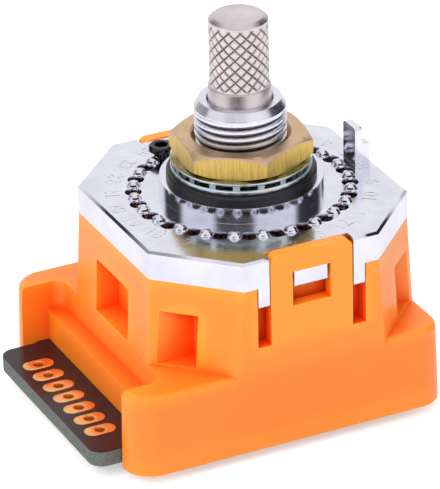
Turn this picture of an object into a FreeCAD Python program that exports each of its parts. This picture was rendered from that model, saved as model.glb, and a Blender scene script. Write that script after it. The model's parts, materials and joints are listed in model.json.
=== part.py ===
"""Panel-mounted coded rotary switch with twenty-four positions.

The shaft turns about +Z. The origin is on the shaft's axis, in the plane of the
front boss's rim, where the back of a panel sits. -Y is the face with the snap
tongue in front, and the circuit board's connector edge sticks out on the -X side.
Heights that start with "plate" are measured down from the front cover's flat face.
All sizes are in millimetres.
"""
import FreeCAD, Part
import math
import os

V = FreeCAD.Vector
AXIS = V(0, 0, 1)
CENTRE = V(0, 0, 0)

# Front cover, a zinc casting
cover_size_x = 28.8
cover_size_y = 30.8
corner_cut = 7.0
plate_thickness = 1.5
skirt_height = 3.05
skirt_wall = 1.3
cover_edge_round = 0.25
boss_radius = 8.3
boss_height = 1.65
bushing_radius = 4.66
bushing_length = 8.45
bushing_chamfer = 0.5
bushing_chamfer_height = 0.8
bore_mouth_radius = 3.4
bore_mouth_depth = 0.35

# Ring of stop holes, one for each switch position, with a round post between each two
positions = 24
hole_ring_radius = 10.94
stop_hole_radius = 0.85
post_radius = 0.66
post_height = 0.55
post_bevel = 0.22
post_sides = 12

# Locating tab cast on the cover, which stops the switch from turning in the panel
tab_inner_x = 12.2
tab_thickness = 0.85
tab_width = 2.6
tab_height = 4.2
tab_rib_length = 1.15
tab_rib_width = 1.3
tab_rib_height = 2.0

# Snap tongues of the housing, and the cover's notch, legs and lug that they work with
tongue_width = 9.0
tongue_thickness = 1.25
tongue_rise = 0.1
tongue_root_drop = 9.6
tongue_corner_round = 1.0
tongue_gap = 0.5
tongue_side_gap = 0.12
leg_width = 1.25
leg_drop = 5.15
recess_wall = 1.1
recess_drop = 4.3
lug_width = 3.64
lug_top_drop = 2.2
lug_height = 1.6
lug_reach = 1.15
tongue_window_width = 4.2
tongue_window_top_drop = 2.1
tongue_window_height = 3.7
moulding_clearance = 0.1

# Housing, one moulding. Reaches are measured outward from the front cover's outline
wall_lean = 0.5
wall_edge_round = 0.6
base_top_drop = 12.35
base_bottom_drop = 20.9
base_lean = 0.2
base_reach_right = 0.6
wing_reach = 5.05
wing_width = 3.15
shelf_drop = 15.5
shelf_reach = 2.25
base_corner_round = 3.0
base_edge_round = 0.7
wing_fillet = 1.4
window_top_drop = 6.3
window_height = 5.75
side_window_half = 3.8
side_window_depth = 2.1
corner_window_inset = 3.25
corner_window_width = 2.9
corner_window_depth = 4.3
cavity_radius = 10.4

# Circuit board, its pads and tracks
board_thickness = 1.6
board_top_drop = 18.9
board_reach = 8.1
board_wing_gap = 0.25
board_corner_round = 1.5
board_wall = 1.3
pad_count = 7
pad_pitch = 2.54
pad_inset = 2.6
pad_length = 3.3
pad_width = 1.85
pad_end_step = 36
pad_hole_radius = 0.5
plating = 0.06
track_radii = (4.6, 5.9, 7.1, 8.3, 9.4)
track_width = 0.8
track_segments = (1, 1, 2, 3, 6)
track_gap_angle = 15.0

# Screws under the board
board_screw_radius = 1.1
board_screw_head_radius = 1.9
board_screw_head_height = 1.7
board_screw_slot_width = 0.5
board_screw_slot_depth = 0.8
board_screw_length = 3.0
board_screw_reach = 0.9
board_screw_inset = 3.5

# Panel hardware on the bushing
seal_outer_radius = 7.6
seal_inner_radius = 6.3
seal_groove_depth = 0.9
seal_proud = 0.8
seal_bevel = 0.2
washer_radius = 7.15
flat_washer_thickness = 0.6
lock_washer_height = 0.72
lock_washer_disc = 0.24
lock_teeth = 18
lock_tooth_width = 0.7
lock_tooth_inner_radius = 6.3
lock_tooth_inset = 0.05
nut_across_flats = 12.7
nut_height = 2.5
nut_corner_angle = 24.6
nut_lead = 0.4
thread_clearance = 0.05

# Stop screw
stop_screw_radius = 0.76
stop_screw_tip_drop = 3.6
stop_screw_head_radius = 1.28
stop_screw_head_drop = -0.85
stop_screw_head_height = 0.6
stop_screw_socket = 1.3
stop_screw_floor = 0.1
stop_screw_angle = 112.5
stop_screw_bevel = 0.15

# Shaft
shaft_radius = 3.175
grip_radius = 3.0
grip_low = 9.89
shaft_top = 17.35
shaft_top_bevel = 0.3
shaft_fit = 0.05
shaft_flats = 4.4
pilot_radius = 1.5
shaft_seal_height = 3.2
shaft_seal_section = 0.95
shaft_seal_wall = 0.03
shaft_seal_lip = 0.01

# Thrust washer and retaining clip
thrust_washer_radius = 5.0
thrust_washer_thickness = 0.4
clip_radius = 4.3
clip_thickness = 0.6
clip_groove_radius = 2.4
clip_mouth = 3.6
axial_play = 0.08

# Stop arm
arm_top_drop = 2.9
arm_thickness = 1.2
arm_hub_radius = 4.7
arm_reach = 11.6
arm_clearance = 0.4
arm_half_width = 1.75

# Detent
detent_top_drop = 5.0
detent_height = 5.0
detent_outer_radius = 11.0
detent_fit = 0.02
crest_radius = 8.7
notch_radius = 1.5
notch_centre = 7.6
carrier_radius = 8.3
ball_radius = 1.5
ball_rest = 6.95
ball_bore_fit = 0.06
spring_radius = 1.2
spring_wire = 0.3
spring_turns = 3
spring_sides = 12
spring_seat = 3.6
spring_gap = 0.3

# Contact rotor, wipers and rear bearing
rotor_gap = 0.4
contact_disc_radius = 9.9
contact_disc_thickness = 1.5
contact_disc_gap = 1.5
contact_hub_radius = 4.2
wiper_sheet = 0.25
wiper_width = 0.7
wiper_lift = 0.1
wiper_contact_length = 1.2
wiper_edge_inset = 0.4
wiper_bend = 0.1
wiper_root = 0.5
wiper_step = 6
bearing_radius = 2.2
bearing_flange_radius = 3.3
bearing_flange_thickness = 0.6

# How far a cutting shape runs past the piece that it cuts
overrun = 1.0

# Derived places
plate_top = -boss_height
half_x = cover_size_x / 2
half_y = cover_size_y / 2
pitch_angle = 360.0 / positions
half_pitch = pitch_angle / 2
plate_under = plate_top - plate_thickness
skirt_bottom = plate_top - skirt_height
board_top = plate_top - board_top_drop
board_under = board_top - board_thickness
base_top = plate_top - base_top_drop
base_bottom = plate_top - base_bottom_drop
detent_top = plate_top - detent_top_drop
detent_bottom = detent_top - detent_height
notch_half_x = tongue_width / 2 + tongue_side_gap
tongue_inner_y = half_y - tongue_thickness
wall_foot_x = half_x + wall_lean
base_right_x = half_x + base_reach_right
wing_left_x = half_x + wing_reach
wing_inner_y = half_y - wing_width
shelf_x = half_x + shelf_reach
board_outer_x = half_x + board_reach
board_tongue_half_y = wing_inner_y - board_wing_gap
pad_x = board_outer_x - pad_inset
upper_bore_radius = arm_reach + arm_clearance
contact_disc_low = board_top + contact_disc_gap
contact_disc_high = contact_disc_low + contact_disc_thickness


def turned(radius, low, high, x=0.0, y=0.0):
    """A round bar between two heights."""
    return Part.makeCylinder(radius, high - low, V(x, y, low))


def ring(outer, inner, low, high):
    """A flat ring between two heights."""
    return turned(outer, low, high).cut(turned(inner, low - overrun, high + overrun))


def block(x0, x1, y0, y1, z0, z1):
    """A box between two corners."""
    return Part.makeBox(x1 - x0, y1 - y0, z1 - z0, V(x0, y0, z0))


def closed_outline(points, height):
    """A closed outline at one height."""
    corners = [V(x, y, height) for x, y in points]
    return Part.makePolygon(corners + corners[:1])


def prism(points, low, high):
    """An upright prism on a closed outline."""
    return Part.Face(closed_outline(points, low)).extrude(V(0, 0, high - low))


def eight_sided(x, y, cut):
    """Corners of a rectangle whose own four corners are cut off at 45 degrees."""
    return [(x, y - cut), (x - cut, y), (cut - x, y), (-x, y - cut),
            (-x, cut - y), (cut - x, -y), (x - cut, -y), (x, cut - y)]


def octagon(inset, low, high):
    """The cover's eight-sided outline, drawn in by an inset, as a prism."""
    cut = corner_cut - inset * (2 - math.sqrt(2))
    return prism(eight_sided(half_x - inset, half_y - inset, cut), low, high)


def at_angle(shape, degrees):
    """A copy of a shape turned about the shaft's axis."""
    copy = shape.copy()
    copy.rotate(CENTRE, AXIS, degrees)
    return copy


def front_and_back(shape):
    """A shape on the front face, and its twin on the back face."""
    return [shape, at_angle(shape, 180)]


def edges_where(shape, test):
    """The straight edges of a shape whose two ends pass a test."""
    found = []
    for edge in shape.Edges:
        ends = [vertex.Point for vertex in edge.Vertexes]
        if len(ends) == 2 and test(ends[0], ends[1]):
            found.append(edge)
    return found


def is_upright(a, b):
    """True where an edge between two points runs up and down, or leans a little."""
    rise = abs(a.z - b.z)
    return rise > 0.2 and math.hypot(a.x - b.x, a.y - b.y) < rise / 4


def end_rims(shape, height):
    """The round edges of a turned piece at one height."""
    rims = []
    for edge in shape.Edges:
        if len(edge.Vertexes) == 1 and abs(edge.Vertexes[0].Z - height) < 1e-6:
            rims.append(edge)
    return rims


def hexagon(across, first_angle):
    """Corners of a hexagon of a given size across its flats."""
    corner = across / math.sqrt(3)
    angles = [math.radians(60 * i + first_angle) for i in range(6)]
    return [(corner * math.cos(a), corner * math.sin(a)) for a in angles]


def double_flat(low, high):
    """The shaft's driving part between two heights: a round bar with two flats."""
    bar = turned(shaft_radius, low, high)
    half = shaft_flats / 2
    return bar.common(block(-shaft_radius - overrun, shaft_radius + overrun, -half, half, low, high))


def bushing():
    """The threaded bushing as a plain bar with its lead-in chamfer."""
    shoulder = bushing_length - bushing_chamfer_height
    bar = turned(bushing_radius, plate_under, shoulder)
    lead_in = Part.makeCone(bushing_radius, bushing_radius - bushing_chamfer, bushing_chamfer_height,
                            V(0, 0, shoulder))
    return bar.fuse(lead_in)


def locating_tab():
    """The tall tab that enters a slot in the panel, with the low rib behind it."""
    low = plate_top - plate_thickness / 2
    x = tab_inner_x
    tab = block(x, x + tab_thickness, -tab_width / 2, tab_width / 2, low, plate_top + tab_height)
    crown = edges_where(tab, lambda a, b: abs(a.x - b.x) > 0.1 and min(a.z, b.z) > plate_top)
    tab = tab.makeFillet(tab_thickness / 2, crown)
    back = x + tab_thickness + tab_rib_length
    rib = block(x, back, -tab_rib_width / 2, tab_rib_width / 2, low, plate_top + tab_rib_height)
    return tab.fuse(rib)


def stop_post():
    """One round post of the stop ring, drawn with few sides, and a bevelled top."""
    top = plate_top + post_height
    low = plate_top - plate_thickness / 2
    angles = [2 * math.pi * i / post_sides for i in range(post_sides)]
    outline = [(post_radius * math.cos(a), post_radius * math.sin(a)) for a in angles]
    post = prism(outline, low, top)
    rim = edges_where(post, lambda a, b: min(a.z, b.z) > top - 1e-4)
    post = post.makeChamfer(post_bevel, rim)
    post.translate(V(hole_ring_radius, 0, 0))
    return post


def front_cover():
    """Plate, skirt, legs, lugs, boss, bushing, stop ring and tab, cast as one piece."""
    plate = octagon(0, skirt_bottom, plate_top)
    rim_edges = edges_where(plate, lambda a, b: min(a.z, b.z) > plate_top - 1e-4)
    plate = plate.makeChamfer(cover_edge_round, rim_edges)
    cover = plate.cut(octagon(skirt_wall, skirt_bottom - overrun, plate_under))
    inner = tongue_inner_y - moulding_clearance
    for notch in front_and_back(block(-notch_half_x, notch_half_x, -half_y - overrun, -inner,
                                      skirt_bottom - overrun, plate_top + overrun)):
        cover = cover.cut(notch)
    cover = cover.fuse(turned(boss_radius, plate_under, 0)).fuse(bushing())
    leg_outer = notch_half_x + leg_width
    for side in (-1, 1):
        x = sorted((side * notch_half_x, side * leg_outer))
        leg = block(x[0], x[1], -half_y, -inner, plate_top - leg_drop, plate_under)
        for piece in front_and_back(leg):
            cover = cover.fuse(piece)
    wall = block(-leg_outer, leg_outer, -inner, recess_wall - inner, plate_top - recess_drop, plate_under)
    lug_top = plate_top - lug_top_drop
    lug = block(-lug_width / 2, lug_width / 2, -inner - lug_reach, recess_wall - inner,
                lug_top - lug_height, lug_top)
    for piece in front_and_back(wall.fuse(lug)):
        cover = cover.fuse(piece)
    hole = turned(stop_hole_radius, plate_under - overrun, plate_top + overrun, hole_ring_radius)
    holes = [at_angle(hole, half_pitch + pitch_angle * i) for i in range(positions)]
    cover = cover.cut(Part.makeCompound(holes))
    post = stop_post()
    for i in range(positions):
        cover = cover.fuse(at_angle(post, pitch_angle * i))
    cover = cover.fuse(locating_tab())
    groove = ring(seal_outer_radius, seal_inner_radius, -seal_groove_depth, overrun)
    bore = turned(shaft_radius + shaft_fit, plate_under - overrun, bushing_length + overrun)
    mouth = Part.makeCone(shaft_radius + shaft_fit, bore_mouth_radius, bore_mouth_depth,
                          V(0, 0, bushing_length - bore_mouth_depth))
    return cover.cut(groove).cut(bore).cut(mouth).removeSplitter()


def hex_nut():
    """Brass panel nut with its upper and lower corners turned off."""
    low = seal_proud + flat_washer_thickness + lock_washer_height
    high = low + nut_height
    corner = nut_across_flats / math.sqrt(3)
    body = prism(hexagon(nut_across_flats, nut_corner_angle), low, high)
    flat = nut_across_flats / 2
    slope = (corner - flat) * math.tan(math.radians(30))
    profile = [V(0, 0, low), V(flat, 0, low), V(corner, 0, low + slope), V(corner, 0, high - slope),
               V(flat, 0, high), V(0, 0, high)]
    envelope = Part.Face(Part.makePolygon(profile + profile[:1])).revolve(CENTRE, AXIS, 360)
    bore = bushing_radius + thread_clearance
    lead = Part.makeCone(bore, bore + nut_lead, nut_lead, V(0, 0, high - nut_lead))
    return body.common(envelope).cut(turned(bore, low - overrun, high + overrun)).cut(lead)


def toothed_lock_washer():
    """Lock washer whose rim is cut into teeth that are bent down to the flat washer."""
    low = seal_proud + flat_washer_thickness
    high = low + lock_washer_height
    bore = bushing_radius + thread_clearance
    washer = ring(washer_radius, bore, high - lock_washer_disc, high)
    tooth = block(lock_tooth_inner_radius, washer_radius, -lock_tooth_width / 2, lock_tooth_width / 2,
                  low, high - lock_washer_disc / 2)
    tooth = tooth.common(turned(washer_radius - lock_tooth_inset, low, high))
    for i in range(lock_teeth):
        washer = washer.fuse(at_angle(tooth, 360.0 / lock_teeth * i))
    return washer.removeSplitter()


def flat_washer():
    """Plain washer under the lock washer."""
    return ring(washer_radius, bushing_radius + thread_clearance, seal_proud,
                seal_proud + flat_washer_thickness)


def panel_seal():
    """Rubber ring in the boss's groove, standing proud to seal against the panel."""
    body = ring(seal_outer_radius, seal_inner_radius, -seal_groove_depth, seal_proud)
    return body.makeChamfer(seal_bevel, end_rims(body, seal_proud))


def stop_screw():
    """Black socket screw in one hole of the stop ring. The stop arm meets its tip."""
    head_low = plate_top - stop_screw_head_drop
    head_high = head_low + stop_screw_head_height
    x = hole_ring_radius
    screw = turned(stop_screw_radius, plate_top - stop_screw_tip_drop, head_low, x)
    head = turned(stop_screw_head_radius, head_low, head_high, x)
    head = head.makeChamfer(stop_screw_bevel, end_rims(head, head_high))
    points = [(x + px, py) for px, py in hexagon(stop_screw_socket, 0)]
    socket = prism(points, head_low + stop_screw_floor, head_high + overrun)
    return at_angle(screw.fuse(head).cut(socket), stop_screw_angle)


def snap_tongue():
    """Front snap tongue with the window that the cover's lug clicks into."""
    low = plate_top - tongue_root_drop
    high = plate_top + tongue_rise
    half = tongue_width / 2
    tongue = block(-half, half, -half_y, -tongue_inner_y, low, high)
    corners = edges_where(tongue, lambda a, b: abs(a.y - b.y) > 0.5 and min(a.z, b.z) > high - 1e-4)
    tongue = tongue.makeFillet(tongue_corner_round, corners)
    window_high = plate_top - tongue_window_top_drop
    window = block(-tongue_window_width / 2, tongue_window_width / 2, -half_y - overrun, 0,
                   window_high - tongue_window_height, window_high)
    return tongue.cut(window)


def leaning_walls():
    """The housing's eight walls. All but the front and back lean out on their way down."""
    top = closed_outline(eight_sided(half_x, half_y, corner_cut), skirt_bottom)
    foot_cut = corner_cut - wall_lean * (math.sqrt(2) - 1)
    foot = closed_outline(eight_sided(wall_foot_x, half_y, foot_cut), base_top - base_edge_round)
    walls = Part.makeLoft([foot, top], True, True)
    return walls.makeFillet(wall_edge_round, edges_where(walls, is_upright))


def base_outline(reach, height):
    """The foot's rectangle at one height, grown by a reach on all sides."""
    left = -wing_left_x - reach
    right = base_right_x + reach
    y = half_y + reach
    return closed_outline([(left, -y), (right, -y), (right, y), (left, y)], height)


def base_block():
    """The wide foot of the housing: two wings beside the board and a shelf between them."""
    full = Part.makeLoft([base_outline(base_lean, base_bottom), base_outline(0, base_top)], True, True)
    full = full.makeFillet(base_corner_round, edges_where(full, is_upright))
    full = full.makeFillet(base_edge_round, edges_where(full, lambda a, b: min(a.z, b.z) > base_top - 1e-4))
    shelf = plate_top - shelf_drop
    far_left = -wing_left_x - overrun
    upper = block(far_left, -wall_foot_x, -wing_inner_y, wing_inner_y, shelf, base_top + overrun)
    inner_corners = edges_where(upper, lambda a, b: is_upright(a, b) and a.x > far_left + overrun)
    upper = upper.makeFillet(wing_fillet, inner_corners)
    lower = block(far_left, -shelf_x, -wing_inner_y, wing_inner_y, base_bottom - overrun, shelf + overrun)
    return full.cut(upper).cut(lower)


def window_pockets():
    """Blind windows in the sides, all drawn along X as the mould's side cores pull."""
    high = plate_top - window_top_drop
    low = high - window_height
    far_y = half_y - corner_window_inset
    near_y = far_y - corner_window_width
    pockets = []
    for side in (-1, 1):
        outside = side * (half_x + overrun)
        x = sorted((side * (half_x - side_window_depth), outside))
        pockets.append(block(x[0], x[1], -side_window_half, side_window_half, low, high))
        x = sorted((side * (half_x - corner_window_depth), outside))
        for face in (-1, 1):
            y = sorted((face * near_y, face * far_y))
            pockets.append(block(x[0], x[1], y[0], y[1], low, high))
    return pockets


def housing():
    """The moulded body: spigot, octagonal walls, tongues, windows, base and board recess."""
    body = leaning_walls().fuse(base_block())
    body = body.fuse(octagon(skirt_wall + moulding_clearance, base_top, plate_under))
    leg_outer = notch_half_x + leg_width + moulding_clearance
    wall_inner = tongue_inner_y - moulding_clearance - recess_wall - moulding_clearance
    slot_low = plate_top - tongue_root_drop
    gap_inner = tongue_inner_y - tongue_gap
    recess = block(-leg_outer, leg_outer, -half_y - overrun, -wall_inner,
                   plate_top - recess_drop - moulding_clearance, plate_top + overrun)
    slot = block(-leg_outer, leg_outer, -half_y - overrun, -gap_inner, slot_low, plate_top)
    for cut in front_and_back(recess.fuse(slot)):
        body = body.cut(cut)
    for tongue in front_and_back(snap_tongue()):
        body = body.fuse(tongue)
    for pocket in window_pockets():
        body = body.cut(pocket)
    body = body.cut(turned(upper_bore_radius, detent_top, plate_top + overrun))
    body = body.cut(turned(detent_outer_radius + detent_fit, detent_bottom, detent_top + overrun))
    body = body.cut(turned(cavity_radius, base_bottom - overrun, detent_bottom + overrun))
    pocket = board_outline(moulding_clearance, base_bottom - overrun, board_top)
    body = body.cut(pocket)
    for x, y in board_screw_places():
        screw_hole = turned(board_screw_radius, board_top - overrun, board_top + board_screw_length, x, y)
        body = body.cut(screw_hole)
    return body.removeSplitter()


def board_outline(grow, low, high):
    """The board's outline: a wide part inside the base and a narrower part that sticks out."""
    wide_left = wing_left_x - board_wall - moulding_clearance
    wide_right = base_right_x - board_wall - moulding_clearance
    wide_half = half_y - board_wall - moulding_clearance
    wide = block(-wide_left - grow, wide_right + grow, -wide_half - grow, wide_half + grow, low, high)
    outer = block(-board_outer_x, 0, -board_tongue_half_y - grow, board_tongue_half_y + grow, low, high)
    rounded = edges_where(outer, lambda a, b: is_upright(a, b) and a.x < -half_x)
    outer = outer.makeFillet(board_corner_round, rounded)
    inner_round = base_corner_round - board_wall
    wide = wide.makeFillet(inner_round, edges_where(wide, is_upright))
    return wide.fuse(outer)


def pad_places():
    """Centres of the row of pads."""
    first = pad_pitch * (pad_count - 1) / 2
    return [(-pad_x, first - pad_pitch * i) for i in range(pad_count)]


def board_screw_places():
    """The two screws on the connector side, under the wings."""
    x = -half_x - board_screw_reach
    y = half_y - board_screw_inset
    return [(x, -y), (x, y)]


def circuit_board():
    """Board with the connector holes, the bearing hole and the screw holes."""
    board = board_outline(0, board_under, board_top)
    low = board_under - overrun
    high = board_top + overrun
    holes = [turned(pad_hole_radius + plating, low, high, x, y) for x, y in pad_places()]
    holes += [turned(board_screw_radius + moulding_clearance, low, high, x, y)
              for x, y in board_screw_places()]
    holes.append(turned(bearing_radius, low, high))
    return board.cut(Part.makeCompound(holes))


def pad_face(x, y, low, high):
    """An oval pad of thin copper, long along X. Its round ends are drawn with a few sides."""
    half = pad_width / 2
    straight = pad_length / 2 - half
    angles = [math.radians(a) for a in range(-90, 91, pad_end_step)]
    end = [(straight + half * math.cos(a), half * math.sin(a)) for a in angles]
    outline = end + [(-px, -py) for px, py in end]
    return prism([(x + px, y + py) for px, py in outline], low, high)


def solder_pads():
    """Plated holes: a long pad on each side of the board, joined by a barrel."""
    pads = []
    for x, y in pad_places():
        hole = turned(pad_hole_radius, board_under - overrun, board_top + overrun, x, y)
        pad = turned(pad_hole_radius + plating, board_under, board_top, x, y)
        pad = pad.fuse(pad_face(x, y, board_top, board_top + plating))
        pad = pad.fuse(pad_face(x, y, board_under - plating, board_under))
        pads.append(pad.cut(hole).removeSplitter())
    return Part.makeCompound(pads)


def contact_tracks():
    """Ring-shaped tracks on the board, each cut into its own number of segments."""
    tracks = []
    for radius, count in zip(track_radii, track_segments):
        section = Part.makePolygon([V(radius - track_width / 2, 0, board_top),
                                    V(radius + track_width / 2, 0, board_top),
                                    V(radius + track_width / 2, 0, board_top + plating),
                                    V(radius - track_width / 2, 0, board_top + plating),
                                    V(radius - track_width / 2, 0, board_top)])
        sweep = 360.0 / count - track_gap_angle
        segment = Part.Face(section).revolve(CENTRE, AXIS, sweep)
        tracks += [at_angle(segment, 360.0 / count * i) for i in range(count)]
    return Part.makeCompound(tracks)


def board_screws():
    """Domed screws that hold the board up against the housing."""
    crown = board_under - board_screw_head_height
    profile = [V(0, 0, crown), V(board_screw_head_radius * 0.5, 0, crown),
               V(board_screw_head_radius * 0.85, 0, crown + board_screw_head_height * 0.3),
               V(board_screw_head_radius, 0, crown + board_screw_head_height * 0.7),
               V(board_screw_head_radius, 0, board_under), V(0, 0, board_under)]
    head = Part.Face(Part.makePolygon(profile + profile[:1])).revolve(CENTRE, AXIS, 360)
    arm = board_screw_head_radius * 0.6
    half = board_screw_slot_width / 2
    floor = crown + board_screw_slot_depth
    slot = block(-arm, arm, -half, half, crown - overrun, floor)
    cross = slot.fuse(block(-half, half, -arm, arm, crown - overrun, floor))
    shank = turned(board_screw_radius, board_under, board_top + board_screw_length)
    screw = head.fuse(shank).cut(cross)
    screws = []
    for x, y in board_screw_places():
        copy = screw.copy()
        copy.translate(V(x, y, 0))
        screws.append(copy)
    return Part.makeCompound(screws)


def rear_bearing():
    """Flanged bush in the board that carries the shaft's pilot."""
    flange_top = board_top + bearing_flange_thickness
    flange = turned(bearing_flange_radius, board_top, flange_top)
    bush = turned(bearing_radius, board_under, board_top)
    bore = turned(pilot_radius + shaft_fit, board_under - overrun, flange_top + overrun)
    return flange.fuse(bush).cut(bore).removeSplitter()


def detent_ring():
    """Hard ring pressed in the housing, with a round notch for each position."""
    body = ring(detent_outer_radius, crest_radius, detent_bottom, detent_top)
    notch = turned(notch_radius, detent_bottom - overrun, detent_top + overrun, notch_centre)
    notches = [at_angle(notch, pitch_angle * i) for i in range(positions)]
    return body.cut(Part.makeCompound(notches))


def thrust_washer():
    """Washer between the cover and the clip."""
    return ring(thrust_washer_radius, shaft_radius + shaft_fit,
                plate_under - thrust_washer_thickness, plate_under)


def clip_top():
    """Height of the clip's upper face, with the shaft's end play above it."""
    return plate_under - thrust_washer_thickness - axial_play


def shaft():
    """Shaft: grip for the knob, plain bearing part, two grooves, two flats and the rear pilot."""
    flats_top = clip_top() - clip_thickness
    grip = turned(grip_radius, grip_low, shaft_top)
    grip = grip.makeChamfer(shaft_top_bevel, end_rims(grip, shaft_top))
    bar = turned(shaft_radius, flats_top, grip_low).fuse(grip)
    bar = bar.fuse(double_flat(contact_disc_low, flats_top))
    bar = bar.fuse(turned(pilot_radius, board_under, contact_disc_low))
    seal_floor = shaft_radius - shaft_seal_section + shaft_seal_wall
    seal_high = shaft_seal_height + shaft_seal_section
    bar = bar.cut(ring(shaft_radius + overrun, seal_floor, shaft_seal_height, seal_high))
    clip_groove = ring(shaft_radius + overrun, clip_groove_radius, flats_top, clip_top())
    return bar.cut(clip_groove).removeSplitter()


def shaft_seal():
    """O-ring in the shaft's groove, drawn with an eight-sided section."""
    r = (shaft_seal_section - shaft_seal_wall) / 2
    centre = shaft_radius + shaft_seal_lip - r
    middle = shaft_seal_height + shaft_seal_section / 2
    angles = [math.radians(45 * i + 22.5) for i in range(8)]
    profile = [V(centre + r * math.cos(a), 0, middle + r * math.sin(a)) for a in angles]
    return Part.Face(Part.makePolygon(profile + profile[:1])).revolve(CENTRE, AXIS, 360)


def retaining_clip():
    """Open clip sprung into the shaft's groove, behind the thrust washer."""
    high = clip_top()
    low = high - clip_thickness
    clip = ring(clip_radius, clip_groove_radius, low, high)
    mouth = block(0, clip_radius + overrun, -clip_mouth / 2, clip_mouth / 2, low - overrun, high + overrun)
    return clip.cut(mouth)


def stop_arm():
    """Steel arm on the shaft's flats. Its tip meets the stop screw at both ends of travel."""
    high = plate_top - arm_top_drop
    low = high - arm_thickness
    hub = turned(arm_hub_radius, low, high)
    arm = block(0, arm_reach, -arm_half_width, arm_half_width, low, high)
    arm = arm.common(turned(arm_reach, low, high))
    piece = at_angle(hub.fuse(arm), stop_screw_angle - 180)
    return piece.cut(double_flat(low - overrun, high + overrun)).removeSplitter()


def detent_rotor():
    """Carrier on the shaft's flats with two opposite radial bores for springs and balls."""
    low = detent_bottom + moulding_clearance
    high = detent_top - moulding_clearance
    carrier = turned(carrier_radius, low, high)
    middle = (low + high) / 2
    bore_radius = ball_radius + ball_bore_fit
    for direction in (1, -1):
        bore = Part.makeCylinder(bore_radius, carrier_radius, V(direction * spring_seat, 0, middle),
                                 V(direction, 0, 0))
        carrier = carrier.cut(bore)
    return carrier.cut(double_flat(low - overrun, high + overrun))


def detent_ball(direction):
    """Steel ball in its retracted place, just clear of the crests."""
    middle = (detent_bottom + detent_top) / 2
    return Part.makeSphere(ball_radius, V(direction * ball_rest, 0, middle))


def detent_springs():
    """Two short coil springs that push the balls outward, bent from flat wire."""
    middle = (detent_bottom + detent_top) / 2
    start = spring_seat + spring_wire
    # a retracted ball dips into the coil's mouth, so the coil ends short of it
    dip = math.sqrt(ball_radius ** 2 - spring_radius ** 2)
    end = ball_rest - dip - spring_gap - spring_wire
    coil_radius = spring_radius - spring_wire
    steps = spring_turns * spring_sides
    points = []
    for i in range(steps + 1):
        a = 2 * math.pi * i / spring_sides
        x = start + (end - start) * i / steps
        points.append(V(x, coil_radius * math.cos(a), middle + coil_radius * math.sin(a)))
    path = Part.makePolygon(points)
    h = spring_wire / 2
    first = points[0]
    corners = [first + V(-h, -h, 0), first + V(h, -h, 0), first + V(h, h, 0), first + V(-h, h, 0)]
    section = Part.makePolygon(corners + corners[:1])
    coil = path.makePipeShell([section], True, False, 1)
    return Part.makeCompound([coil, at_angle(coil, 180)])


def contact_rotor():
    """Moulded carrier of the wipers, driven by the shaft's flats."""
    high = detent_bottom - rotor_gap
    low = contact_disc_low
    body = turned(contact_hub_radius, low, high)
    body = body.fuse(turned(contact_disc_radius, low, contact_disc_high))
    return body.cut(double_flat(low - overrun, high + overrun)).removeSplitter()


def wiper_contacts():
    """Sprung sheet under the contact rotor: one finger runs down to each track."""
    high = contact_disc_low
    low = high - wiper_sheet
    inner = track_radii[0] - track_width
    sheet = ring(contact_disc_radius - wiper_edge_inset, inner, low, high)
    sheet = sheet.common(block(-contact_disc_radius, 0, -inner, inner, low - overrun, high + overrun))
    touch = board_top + plating + wiper_lift
    bend = -wiper_contact_length
    tip = -2 * wiper_contact_length
    for index, radius in enumerate(track_radii):
        side_view = [(0, high), (0, low), (bend, touch), (tip, touch), (tip, touch + wiper_sheet),
                     (bend + wiper_bend, touch + wiper_sheet), (-wiper_root, high)]
        y = radius - wiper_width / 2
        profile = [V(x, y, z) for x, z in side_view]
        finger = Part.Face(Part.makePolygon(profile + profile[:1])).extrude(V(0, wiper_width, 0))
        sheet = sheet.fuse(at_angle(finger, 90 + wiper_step * index))
    return sheet.removeSplitter()


def write(name, shape):
    """One file for each sub-part."""
    shape.exportStep("parts/" + name + ".step")
    solids = shape.Solids
    volume = sum(solid.Volume for solid in solids)
    print(name, "solids", len(solids), "volume", round(volume, 2), "valid", shape.isValid())


os.makedirs("parts", exist_ok=True)
write("front_cover", front_cover())
write("hex_nut", hex_nut())
write("toothed_lock_washer", toothed_lock_washer())
write("flat_washer", flat_washer())
write("panel_seal", panel_seal())
write("stop_screw", stop_screw())
write("housing", housing())
write("circuit_board", circuit_board())
write("solder_pads", solder_pads())
write("contact_tracks", contact_tracks())
write("board_screws", board_screws())
write("rear_bearing", rear_bearing())
write("detent_ring", detent_ring())
write("thrust_washer", thrust_washer())
write("shaft", shaft())
write("shaft_seal", shaft_seal())
write("retaining_clip", retaining_clip())
write("stop_arm", stop_arm())
write("detent_rotor", detent_rotor())
write("detent_ball_a", detent_ball(1))
write("detent_ball_b", detent_ball(-1))
write("detent_springs", detent_springs())
write("contact_rotor", contact_rotor())
write("wiper_contacts", wiper_contacts())
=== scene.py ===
# %% [markdown]
# # A panel rotary switch, dressed for the camera
# The construction comes ready made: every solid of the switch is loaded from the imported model, and
# this lesson never moves one. What is left to do here is what makes metal look like metal and
# moulded plastic like moulded plastic: the thread, the knurl, the softened edges, the finishes,
# the light and the camera.

# %% Load the switch's solids
import json
import math

import bpy
import bmesh
import numpy as np
from mathutils import Matrix, Vector

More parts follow.
